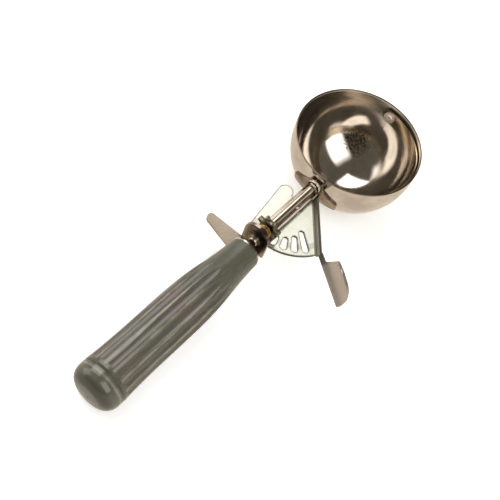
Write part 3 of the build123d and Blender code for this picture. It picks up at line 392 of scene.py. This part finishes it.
def buffed_steel(name, pale, dark, roughness, turn, marks=0.1, metal=VEIL):
    """Metal buffed along X, with haze that shifts its tone and its gloss.

    roughness is that of the clearest and the dullest places, and marks is how deep the lines look.
    The noise is turned, in degrees, only after its stretch, so turn changes which lines a piece
    shows and not where they run.
    """
    finish, tree, shader = new_finish(name, Metallic=metal)
    space = add(tree, "ShaderNodeTexCoord", {}).outputs["Object"]
    along = add(
        tree, "ShaderNodeMapping",
        {
            "Vector": space,
            "Rotation": [math.radians(v) for v in turn],
            "Scale": (GRAIN_STRETCH, 1.0, 1.0),
        },
    )
    grain = add(
        tree, "ShaderNodeTexNoise",
        {"Vector": along.outputs["Vector"], "Scale": GRAIN, "Detail": 3.0},
    )
    haze = add(
        tree, "ShaderNodeTexNoise",
        {"Vector": space, "Scale": STEEL_HAZE, "Detail": 3.0, "Roughness": 0.5},
    )
    tint = add(
        tree, "ShaderNodeValToRGB", {"Fac": haze.outputs["Fac"]},
        stops=[(HAZE_LOW, dark), (HAZE_HIGH, pale)],
    )
    tree.links.new(tint.outputs["Color"], shader.inputs["Base Color"])
    blend = add(
        tree, "ShaderNodeMath", {0: haze.outputs["Fac"], 1: grain.outputs["Fac"]}, operation="ADD",
    )
    dull = add(
        tree, "ShaderNodeMapRange",
        {
            "Value": blend.outputs["Value"],
            "From Min": DULL_SPREAD[0],
            "From Max": DULL_SPREAD[1],
            "To Min": roughness[0],
            "To Max": roughness[1],
        },
    )
    tree.links.new(dull.outputs["Result"], shader.inputs["Roughness"])
    bump = add(
        tree, "ShaderNodeBump",
        {"Height": grain.outputs["Fac"], "Strength": marks, "Distance": GRAIN_HEIGHT},
    )
    tree.links.new(bump.outputs["Normal"], shader.inputs["Normal"])
    return finish


# painted shade: the saddle's steel is toned darker and browner than the bowl's
saddle_painted_shade = buffed_steel(
    "stainless_saddle_painted_shade", pale=SADDLE_SHADED_PALE, dark=SADDLE_SHADED_DARK,
    roughness=(0.18, 0.34), turn=(0, 0, 90),
)
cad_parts["bowl_saddle"].material_slots[0].material = saddle_painted_shade

BEAD_X = -0.0377             # the corner of bush and saddle, along the shaft
BEAD_RING = 0.0037           # radius of the ring that it forms, to its middle
BEAD_THICK = 0.00085
BEAD_FROM, BEAD_TO = -28.0, 208.0    # degrees round the shaft
BEAD_SIDES, BEAD_STEPS = 14, 56
LUMPS = ((1100.0, 0.00042), (2600.0, 0.00014))    # scale and height, 0.9 and 0.4 mm across
BRAZE_METAL = 0.35           # the rest is diffuse, a painted highlight that keeps the pale bead bright
SHAFT_LINE = Vector((0, 0, -0.0076))    # where the shaft's axis meets the bowl's


def new_piece(name, shape, finish, body):
    """Makes an object of a bmesh, smooth shaded, with its finish, and lets it ride on a body."""
    bmesh.ops.recalc_face_normals(shape, faces=shape.faces)
    mesh = bpy.data.meshes.new(name)
    shape.to_mesh(mesh)
    shape.free()
    mesh.shade_smooth()
    piece = bpy.data.objects.new(name, mesh)
    piece.data.materials.append(finish)
    bpy.context.scene.collection.objects.link(piece)
    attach(piece, body)
    return piece


bead = bmesh.new()
start = math.radians(BEAD_FROM)
ring_point = SHAFT_LINE + Vector((BEAD_X, BEAD_RING * math.cos(start), BEAD_RING * math.sin(start)))
stand = Matrix.Rotation(start, 4, "X") @ Matrix.Rotation(math.radians(90), 4, "X")
section = bmesh.ops.create_circle(bead, cap_ends=False, segments=BEAD_SIDES, radius=BEAD_THICK)
bmesh.ops.transform(bead, matrix=Matrix.Translation(ring_point) @ stand, verts=section["verts"])
bmesh.ops.spin(
    bead, geom=list(bead.edges), cent=SHAFT_LINE + Vector((BEAD_X, 0, 0)), axis=(1, 0, 0),
    angle=math.radians(BEAD_TO - BEAD_FROM), steps=BEAD_STEPS,
)
bmesh.ops.holes_fill(bead, edges=[edge for edge in bead.edges if edge.is_boundary], sides=0)
for vert in bead.verts:
    lump = sum(noise.noise(vert.co * cells) * height for cells, height in LUMPS)
    middle = vert.co - SHAFT_LINE
    middle.x = 0
    centre = SHAFT_LINE + Vector((BEAD_X, 0, 0)) + middle.normalized() * BEAD_RING
    vert.co += (vert.co - centre).normalized() * lump
# painted highlight: a pale, mostly diffuse finish, so the bead stays bright in its shade
braze_painted_highlight = buffed_steel(
    "silver_braze_painted_highlight", pale="#FBF3EA", dark="#BCA692",
    roughness=(0.14, 0.3), turn=(0, 0, 0), marks=0.3, metal=BRAZE_METAL,
)
new_piece("braze_bead", bead, braze_painted_highlight, "frame")


# ---------------------------------------------------------------- shank bar, bush and frame
# A flat stainless bar under the shaft, the hexagon bush that the shaft turns in, and the lower bar
# that is folded up at the rear as the bearing plate. All are cold formed, tumbled and buffed
# lengthways, and the lower bar is painted darker as painted shade.
BAR_PALE = "#C3B7AA"
BAR_DARK = "#8A7E72"
FOLDED_SHADED_PALE = "#A79B8D"      # painted shade: the lower bar is toned darker than the flat bar
FOLDED_SHADED_DARK = "#756A5F"

buffed_bar = buffed_steel(
    "stainless_bar_buffed", pale=BAR_PALE, dark=BAR_DARK,
    roughness=(0.12, 0.26), turn=(0, 0, 0),
)
for node in ("shank_bar", "front_bush"):
    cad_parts[node].material_slots[0].material = buffed_bar
# painted shade: a darker copy of the bar's steel for the bearing plate
shaded_folded_bar = buffed_steel(
    "stainless_bar_painted_shade", pale=FOLDED_SHADED_PALE, dark=FOLDED_SHADED_DARK,
    roughness=(0.14, 0.28), turn=(0, 0, 0),
)
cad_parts["frame_strap"].material_slots[0].material = shaded_folded_bar


# ---------------------------------------------------------------- shaft, rear bush and end washer
# Round stainless rod, ground and then polished lengthways, so its faint lines run along it. It
# turns in a flanged bush in the bearing plate, and its rear end is riveted over a washer behind it.
ground = buffed_steel(
    "stainless_ground_shaft", pale="#DACFC0", dark="#B3A591",
    roughness=(0.08, 0.18), turn=(0, 0, 90),
)
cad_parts["scraper_shaft"].material_slots[0].material = ground
turned_steel = buffed_steel(
    "steel_turned_small", pale="#DCD3CA", dark="#A99E94",
    roughness=(0.16, 0.32), turn=(0, 90, 0),
)
for node in ("shaft_end_washer", "rear_bush"):
    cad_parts[node].material_slots[0].material = turned_steel


# ---------------------------------------------------------------- pinion
# A seven-toothed pinion of sintered steel that a cross pin holds on the shaft. Its teeth have
# rounded edges, and grease and milk darken them.
TEETH = 7
FIRST_TOOTH = -90            # degrees round the shaft
TOOTH_ROOT = 0.00485
TOOTH_TIP = 0.00705
ROOT_HALF, TIP_HALF = 0.0011, 0.00065    # half a tooth's width
PINION_REAR, PINION_FRONT = -0.0768, -0.0738
TOOTH_ROUND = 0.00045
TOOTH_SHARP = math.radians(35)    # edges sharper than this are rounded

cog = bmesh.new()
corners = []
for index in range(TEETH):
    turn = math.radians(FIRST_TOOTH + index * 360 / TEETH)
    radial = Vector((0, math.cos(turn), math.sin(turn)))
    side = Vector((0, -math.sin(turn), math.cos(turn)))
    for far, half in (
        (TOOTH_ROOT, -ROOT_HALF),
        (TOOTH_TIP, -TIP_HALF),
        (TOOTH_TIP, TIP_HALF),
        (TOOTH_ROOT, ROOT_HALF),
    ):
        corner = SHAFT_LINE + Vector((PINION_REAR, 0, 0)) + radial * far + side * half
        corners.append(cog.verts.new(corner))
blank = cog.faces.new(corners)
pushed = bmesh.ops.extrude_face_region(cog, geom=[blank])
moved = [item for item in pushed["geom"] if isinstance(item, bmesh.types.BMVert)]
bmesh.ops.translate(cog, verts=moved, vec=(PINION_FRONT - PINION_REAR, 0, 0))
bmesh.ops.recalc_face_normals(cog, faces=cog.faces)
sharp = [edge for edge in cog.edges if edge.calc_face_angle(0) > TOOTH_SHARP]
bmesh.ops.bevel(
    cog, geom=sharp, offset=TOOTH_ROUND, offset_type="OFFSET", segments=3, profile=0.5,
    affect="EDGES", material=-1,
)
oiled = buffed_steel(
    "steel_sintered_oiled", pale="#B4AF9F", dark="#6A6454",
    roughness=(0.22, 0.42), turn=(0, 0, 0), marks=0.3,
)
pinion = new_piece("toothed_pinion", cog, oiled, "scraper")
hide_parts("pinion")
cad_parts["pinion_pin"].material_slots[0].material = oiled


# ---------------------------------------------------------------- return spring
# Brass wire wound cold into a close coil round the shaft, with its rear leg down to the frame.
# Drawing leaves it bright, and handling browns it in patches.
WIRE = 0.00052               # radius of the wire
COIL = 0.00318               # radius of the coil, to the wire's middle
COIL_REAR, COIL_FRONT = -0.0841, -0.0774
COIL_TURNS = 6
WIRE_SIDES, STEPS_A_TURN = 12, 36
LEG_FOOT = -0.0157           # height of the rear leg's lower end

coil = bmesh.new()
section = bmesh.ops.create_circle(coil, cap_ends=False, segments=WIRE_SIDES, radius=WIRE)
place = Matrix.Translation(SHAFT_LINE + Vector((COIL_REAR, COIL, 0)))
bmesh.ops.transform(coil, matrix=place, verts=section["verts"])
steps = COIL_TURNS * STEPS_A_TURN
bmesh.ops.spin(
    coil, geom=list(coil.edges), cent=SHAFT_LINE, axis=(1, 0, 0),
    dvec=((COIL_FRONT - COIL_REAR) / steps, 0, 0),
    angle=math.radians(360 * COIL_TURNS), steps=steps,
)
open_ends = [edge for edge in coil.edges if edge.is_boundary]
rear_end = [edge for edge in open_ends if edge.verts[0].co.x < (COIL_REAR + COIL_FRONT) / 2]
leg = bmesh.ops.extrude_edge_only(coil, edges=rear_end)
leg_verts = [item for item in leg["geom"] if isinstance(item, bmesh.types.BMVert)]
bmesh.ops.translate(coil, verts=leg_verts, vec=(0, 0, LEG_FOOT - SHAFT_LINE.z))
bmesh.ops.holes_fill(coil, edges=[edge for edge in coil.edges if edge.is_boundary], sides=0)
brass = buffed_steel(
    "brass_drawn_wire", pale="#DDB982", dark="#966F42",
    roughness=(0.16, 0.34), turn=(0, 0, 90),
)
spring = new_piece("wound_spring", coil, brass, "frame")
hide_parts("return_spring")


# ---------------------------------------------------------------- scraper blade and its far pivot
# A half ring of stainless strip that sweeps the bowl's inside, buffed bright and browned a little
# by use. Its far end turns on a riveted pin with a washer inside, both painted pale as a painted
# highlight.
PIN_METAL = 0.5              # the rest is diffuse, a painted highlight that keeps pin and washer pale

blade = buffed_steel(
    "stainless_blade_buffed", pale="#D6C7AE", dark="#AE9C80",
    roughness=(0.1, 0.2), turn=(0, 0, 0),
)
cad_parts["scraper_blade"].material_slots[0].material = blade
# painted highlight: pale and half diffuse, so pin and washer stay bright
pin_painted_highlight = buffed_steel(
    "steel_pin_painted_highlight", pale="#FFF9F4", dark="#F2DBCF",
    roughness=(0.25, 0.4), turn=(0, 90, 0), metal=PIN_METAL,
)
for node in ("far_pivot_pin", "far_pivot_washer"):
    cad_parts[node].material_slots[0].material = pin_painted_highlight


# ---------------------------------------------------------------- lever
# Stainless plate, stamped in one piece with its slots, strap and dished pad, and left satin. Its
# edges and cut sides are painted dark as painted shade, the strap and pad are painted darker than
# the plate as painted shade, and the pinion's teeth have rubbed a darker band across the slots.
PLATE_PALE = "#F4F4E6"
PLATE_DARK = "#E4E4D2"
PAD_PAINTED_SHADE = "#BEB3AA"         # painted shade: the pad is toned darker than the plate
STRAP_PAINTED_SHADE = "#827D72"       # painted shade: the strap is toned much darker than the plate
PAD_FROM = 0.0375            # distance from the pivot at which the pad begins
EDGE_PAINTED_SHADE = "#4B463A"
PIVOT = Vector((-0.0513, 0.0, 0.0))
STRAP_OUT = Vector((0.6652, -0.7466, 0.0))    # square to the strap, away from the pivot
STRAP_LINE = 0.0091          # from the pivot to the strap's inner face
RUB_FROM, RUB_TO = 0.0222, 0.0268    # the rubbed band, from the pivot
RUB_FADE = 0.0012
RUB_TONE = "#A9A595"
TRACKS = 3200.0              # tracks 0.3 mm apart
PAD_BLEND = 0.003
SIDE_FACING = 0.6            # a face that looks less up or down than this is a cut side, painted dark
EDGE_SHADE_WIDTH = 0.0014                # width of the painted shade line round each edge
EDGE_SHADE_TURN = (0.985, 0.93)    # cosine of the rounded normal's turn, at the line's edge and core
CUT_DULL = 0.15              # roughness that a cut edge adds
PLATE_METAL = 0.8            # satin, so part of the light scatters

plate = buffed_steel(
    "stainless_plate_satin", pale=PLATE_PALE, dark=PLATE_DARK,
    roughness=(0.26, 0.4), turn=(0, 0, 40), marks=0.14, metal=PLATE_METAL,
)
tree = plate.node_tree
shader = tree.nodes["Principled BSDF"]
tone = shader.inputs["Base Color"].links[0].from_socket
gloss = shader.inputs["Roughness"].links[0].from_socket
spot = add(tree, "ShaderNodeTexCoord", {}).outputs
facing = add(tree, "ShaderNodeSeparateXYZ", {"Vector": spot["Normal"]}).outputs["Z"]
facing = add(tree, "ShaderNodeMath", {0: facing}, operation="ABSOLUTE").outputs["Value"]
from_pivot = add(
    tree, "ShaderNodeVectorMath", {0: spot["Object"], 1: PIVOT}, operation="SUBTRACT",
).outputs["Vector"]
outward = add(
    tree, "ShaderNodeVectorMath", {0: from_pivot, 1: STRAP_OUT}, operation="DOT_PRODUCT",
).outputs["Value"]
on_plate = add(
    tree, "ShaderNodeMath", {0: outward, 1: STRAP_LINE}, operation="LESS_THAN",
).outputs["Value"]
rounded = add(tree, "ShaderNodeBevel", {"Radius": EDGE_SHADE_WIDTH}, samples=6).outputs["Normal"]
true_normal = add(tree, "ShaderNodeNewGeometry", {}).outputs["Normal"]
agreement = add(
    tree, "ShaderNodeVectorMath", {0: rounded, 1: true_normal}, operation="DOT_PRODUCT",
).outputs["Value"]
edge_shade = add(
    tree, "ShaderNodeMapRange",
    {"Value": agreement, "From Min": EDGE_SHADE_TURN[0], "From Max": EDGE_SHADE_TURN[1]},
).outputs["Result"]
# painted shade: the cut sides and a thin line round every edge are painted dark
side = add(
    tree, "ShaderNodeMath", {0: facing, 1: SIDE_FACING}, operation="LESS_THAN",
).outputs["Value"]
edge = add(tree, "ShaderNodeMath", {0: side, 1: edge_shade}, operation="MAXIMUM").outputs["Value"]
edge = add(tree, "ShaderNodeMath", {0: edge, 1: on_plate}, operation="MULTIPLY").outputs["Value"]
level = add(
    tree, "ShaderNodeVectorMath", {0: from_pivot, 1: (1.0, 1.0, 0.0)}, operation="MULTIPLY",
).outputs["Vector"]
radius = add(tree, "ShaderNodeVectorMath", {0: level}, operation="LENGTH").outputs["Value"]
tracks = add(
    tree, "ShaderNodeTexNoise", {"W": radius, "Scale": TRACKS, "Detail": 2.0},
    noise_dimensions="1D",
)
band_in = add(
    tree, "ShaderNodeMapRange",
    {"Value": radius, "From Min": RUB_FROM, "From Max": RUB_FROM + RUB_FADE},
    interpolation_type="SMOOTHSTEP",
)
band_out = add(
    tree, "ShaderNodeMapRange",
    {"Value": radius, "From Min": RUB_TO, "From Max": RUB_TO - RUB_FADE},
    interpolation_type="SMOOTHSTEP",
)
band = add(
    tree, "ShaderNodeMath", {0: band_in.outputs["Result"], 1: band_out.outputs["Result"]},
    operation="MULTIPLY",
)
rub = add(
    tree, "ShaderNodeMath", {0: band.outputs["Value"], 1: tracks.outputs["Fac"]},
    operation="MULTIPLY",
)
rub = add(tree, "ShaderNodeMath", {0: rub.outputs["Value"], 1: on_plate}, operation="MULTIPLY")
on_pad = add(tree, "ShaderNodeVectorMath", {0: from_pivot}, operation="LENGTH").outputs["Value"]
on_pad = add(
    tree, "ShaderNodeMapRange",
    {"Value": on_pad, "From Min": PAD_FROM, "From Max": PAD_FROM + PAD_BLEND},
    interpolation_type="SMOOTHSTEP",
).outputs["Result"]
# painted shade: the strap and the pad take darker tones than the plate
folded = add(
    tree, "ShaderNodeMix", {"Factor": on_pad, 6: linear(STRAP_PAINTED_SHADE), 7: linear(PAD_PAINTED_SHADE)},
    data_type="RGBA",
)
bent = add(
    tree, "ShaderNodeMix", {"Factor": on_plate, 6: folded.outputs[2], 7: tone}, data_type="RGBA",
)
worn = add(
    tree, "ShaderNodeMix",
    {"Factor": rub.outputs["Value"], 6: bent.outputs[2], 7: linear(RUB_TONE)},
    data_type="RGBA",
)
# painted shade mixed into the plate's colour along its edges
edge_shaded = add(
    tree, "ShaderNodeMix", {"Factor": edge, 6: worn.outputs[2], 7: linear(EDGE_PAINTED_SHADE)},
    data_type="RGBA",
)
tree.links.new(edge_shaded.outputs[2], shader.inputs["Base Color"])
rough = add(tree, "ShaderNodeMath", {0: edge, 1: CUT_DULL}, operation="MULTIPLY").outputs["Value"]
rough = add(tree, "ShaderNodeMath", {0: rough, 1: gloss}, operation="ADD").outputs["Value"]
tree.links.new(rough, shader.inputs["Roughness"])
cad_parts["lever"].material_slots[0].material = plate


# ---------------------------------------------------------------- lever's rivet and washers
# The steel rivet that the lever turns on, headed over the shank bar, with a washer over and under
# the lever.
for node in ("pivot_rivet", "pivot_spacer", "pivot_washer"):
    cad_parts[node].material_slots[0].material = turned_steel


# ---------------------------------------------------------------- finger rest and frame rivets
# The tang plate, stamped from stainless sheet with its finger rest twisted a little, riveted under
# the frame. Fingers keep it satin.
finger = buffed_steel(
    "stainless_finger_rest", pale="#AC9F8D", dark="#9D907F",
    roughness=(0.2, 0.32), turn=(0, 0, 70),
)
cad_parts["tang_plate"].material_slots[0].material = finger
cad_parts["frame_rivets"].material_slots[0].material = turned_steel


# ---------------------------------------------------------------- ferrule
# A blanked steel disc that closes the grip's front, notched for the tang. Tumbling leaves it bright
# and clouded.
ferrule = buffed_steel(
    "steel_blanked_disc", pale="#D8CFC2", dark="#A1958A",
    roughness=(0.14, 0.28), turn=(0, 90, 0),
)
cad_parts["ferrule_plate"].material_slots[0].material = ferrule


# ---------------------------------------------------------------- grip and end cap
# Thermoset plastic moulded in one grey, with its flutes in the mould. Painted highlights run along
# the ribs' crests and round the cap's shoulder, broken up in patches, and the cap's end is painted
# darker. Hands have rubbed the whole grip duller than the cap, and the flow of the resin shows as
# faint streaks.
GRIP_PALE = "#5C5A4F"
GRIP_DARK = "#525145"
RIB_HIGHLIGHT = "#858275"
GRIP_WARM = "#62554F"        # clouds of a warmer tone, 30 mm across, where the resin cured hotter
CLOUDS = 33.0
RIBS = 14
GRIP_LINE = -0.0129          # height of the grip's axis
RIBS_FROM = -0.124           # where the flutes begin
RIBS_TO = -0.1875
RIB_CREST = 0.45             # cosine across a rib at which its painted highlight begins
RIB_RUNOUT = 0.012
STREAKS = 420.0              # streaks 2.4 mm wide
STREAK_STRETCH = 0.3         # and about 8 mm long
CLOUD_CUT = (0.42, 0.62)     # noise at a cloud's edge and where it is full
WORN_CUT = (0.15, 0.6)       # the same for the patches in which the painted highlights show
SKIN_GRAIN = 1500.0          # pits 0.7 mm across
SKIN_STRENGTH, SKIN_HEIGHT = 0.12, 0.0001
SHOULDER = -0.1916           # where a painted highlight rings the cap, behind its groove
SHOULDER_HALF = 0.0012
CAP_FACE = (-0.1945, -0.1982)    # towards its end the cap is painted a darker tone
CAP_DARK = "#3B3A30"
CAP_GLOSS = (0.13, 0.17)     # the cap's roughness, from streak to streak
GRIP_DULLER = 0.12           # the grip's roughness over the cap's, from the mould and from handling

moulded, tree, shader = new_finish("phenolic_moulded", IOR=1.55)
space = add(tree, "ShaderNodeTexCoord", {}).outputs["Object"]
flow = add(tree, "ShaderNodeMapping", {"Vector": space, "Scale": (STREAK_STRETCH, 1.0, 1.0)})
mottle = add(
    tree, "ShaderNodeTexNoise", {"Vector": flow.outputs["Vector"], "Scale": STREAKS, "Detail": 4.0},
)
tint = add(
    tree, "ShaderNodeValToRGB", {"Fac": mottle.outputs["Fac"]},
    stops=[(NOISE_LOW, GRIP_DARK), (NOISE_HIGH, GRIP_PALE)],
)
split = add(tree, "ShaderNodeSeparateXYZ", {"Vector": space}).outputs
high = add(tree, "ShaderNodeMath", {0: split["Z"], 1: -GRIP_LINE}, operation="ADD").outputs["Value"]
angle = add(tree, "ShaderNodeMath", {0: high, 1: split["Y"]}, operation="ARCTAN2").outputs["Value"]
phase = add(
    tree, "ShaderNodeMath", {0: angle, 1: float(RIBS)}, operation="MULTIPLY",
).outputs["Value"]
wave = add(tree, "ShaderNodeMath", {0: phase}, operation="COSINE").outputs["Value"]
# painted highlight along each rib's crest
painted_highlight = add(
    tree, "ShaderNodeMapRange", {"Value": wave, "From Min": RIB_CREST, "From Max": 1.0},
    interpolation_type="SMOOTHSTEP",
).outputs["Result"]
front = add(
    tree, "ShaderNodeMapRange",
    {"Value": split["X"], "From Min": RIBS_FROM, "From Max": RIBS_FROM - RIB_RUNOUT},
    interpolation_type="SMOOTHSTEP",
).outputs["Result"]
rear = add(
    tree, "ShaderNodeMath", {0: split["X"], 1: RIBS_TO}, operation="GREATER_THAN",
).outputs["Value"]
ribbed = add(tree, "ShaderNodeMath", {0: front, 1: rear}, operation="MULTIPLY").outputs["Value"]
cloud = add(tree, "ShaderNodeTexNoise", {"Vector": space, "Scale": CLOUDS, "Detail": 2.0})
cloud = add(
    tree, "ShaderNodeMapRange",
    {"Value": cloud.outputs["Fac"], "From Min": CLOUD_CUT[0], "From Max": CLOUD_CUT[1]},
)
cloud = add(
    tree, "ShaderNodeMath", {0: cloud.outputs["Result"], 1: ribbed}, operation="MULTIPLY",
).outputs["Value"]
clouded = add(
    tree, "ShaderNodeMix", {"Factor": cloud, 6: tint.outputs["Color"], 7: linear(GRIP_WARM)},
    data_type="RGBA",
)
end_face = add(
    tree, "ShaderNodeMapRange",
    {"Value": split["X"], "From Min": CAP_FACE[0], "From Max": CAP_FACE[1]},
    interpolation_type="SMOOTHSTEP",
).outputs["Result"]
capped = add(
    tree, "ShaderNodeMix", {"Factor": end_face, 6: clouded.outputs[2], 7: linear(CAP_DARK)},
    data_type="RGBA",
)
painted_highlight = add(tree, "ShaderNodeMath", {0: painted_highlight, 1: ribbed}, operation="MULTIPLY").outputs["Value"]
# painted highlight: a pale ring round the cap's shoulder
shoulder_highlight = add(
    tree, "ShaderNodeMath", {0: split["X"], 1: -SHOULDER}, operation="ADD",
).outputs["Value"]
shoulder_highlight = add(tree, "ShaderNodeMath", {0: shoulder_highlight}, operation="ABSOLUTE").outputs["Value"]
shoulder_highlight = add(
    tree, "ShaderNodeMapRange", {"Value": shoulder_highlight, "From Min": SHOULDER_HALF, "From Max": 0.0},
    interpolation_type="SMOOTHSTEP",
).outputs["Result"]
painted_highlight = add(tree, "ShaderNodeMath", {0: painted_highlight, 1: shoulder_highlight}, operation="MAXIMUM").outputs["Value"]
patch = add(
    tree, "ShaderNodeMapRange",
    {"Value": mottle.outputs["Fac"], "From Min": WORN_CUT[0], "From Max": WORN_CUT[1]},
)
# painted highlight, shown only in patches
worn = add(
    tree, "ShaderNodeMath", {0: painted_highlight, 1: patch.outputs["Result"]}, operation="MULTIPLY",
).outputs["Value"]
skin_tone = add(
    tree, "ShaderNodeMix", {"Factor": worn, 6: capped.outputs[2], 7: linear(RIB_HIGHLIGHT)},
    data_type="RGBA",
)
tree.links.new(skin_tone.outputs[2], shader.inputs["Base Color"])
skin = add(tree, "ShaderNodeTexNoise", {"Vector": space, "Scale": SKIN_GRAIN, "Detail": 2.0})
dull = add(
    tree, "ShaderNodeMapRange",
    {
        "Value": mottle.outputs["Fac"],
        "From Min": NOISE_LOW,
        "From Max": NOISE_HIGH,
        "To Min": CAP_GLOSS[0],
        "To Max": CAP_GLOSS[1],
    },
)
handled = add(
    tree, "ShaderNodeMath", {0: rear, 1: GRIP_DULLER, 2: dull.outputs["Result"]},
    operation="MULTIPLY_ADD",
)
tree.links.new(handled.outputs["Value"], shader.inputs["Roughness"])
bump = add(
    tree, "ShaderNodeBump",
    {"Height": skin.outputs["Fac"], "Strength": SKIN_STRENGTH, "Distance": SKIN_HEIGHT},
)
tree.links.new(bump.outputs["Normal"], shader.inputs["Normal"])
for node in ("handle_grip", "end_cap"):
    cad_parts[node].material_slots[0].material = moulded


# ---------------------------------------------------------------- tang rod, washer and nut
# The threaded steel rod that draws the grip onto the tang, with its washer and nut under the cap.
# Zinc plated, so they are duller and greyer than the stainless parts.
plated = buffed_steel(
    "steel_zinc_plated", pale="#B9BAB6", dark="#8D8E8A",
    roughness=(0.3, 0.45), turn=(0, 90, 0),
)
for node in ("tang_rod", "tang_washer", "tang_nut"):
    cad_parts[node].material_slots[0].material = plated
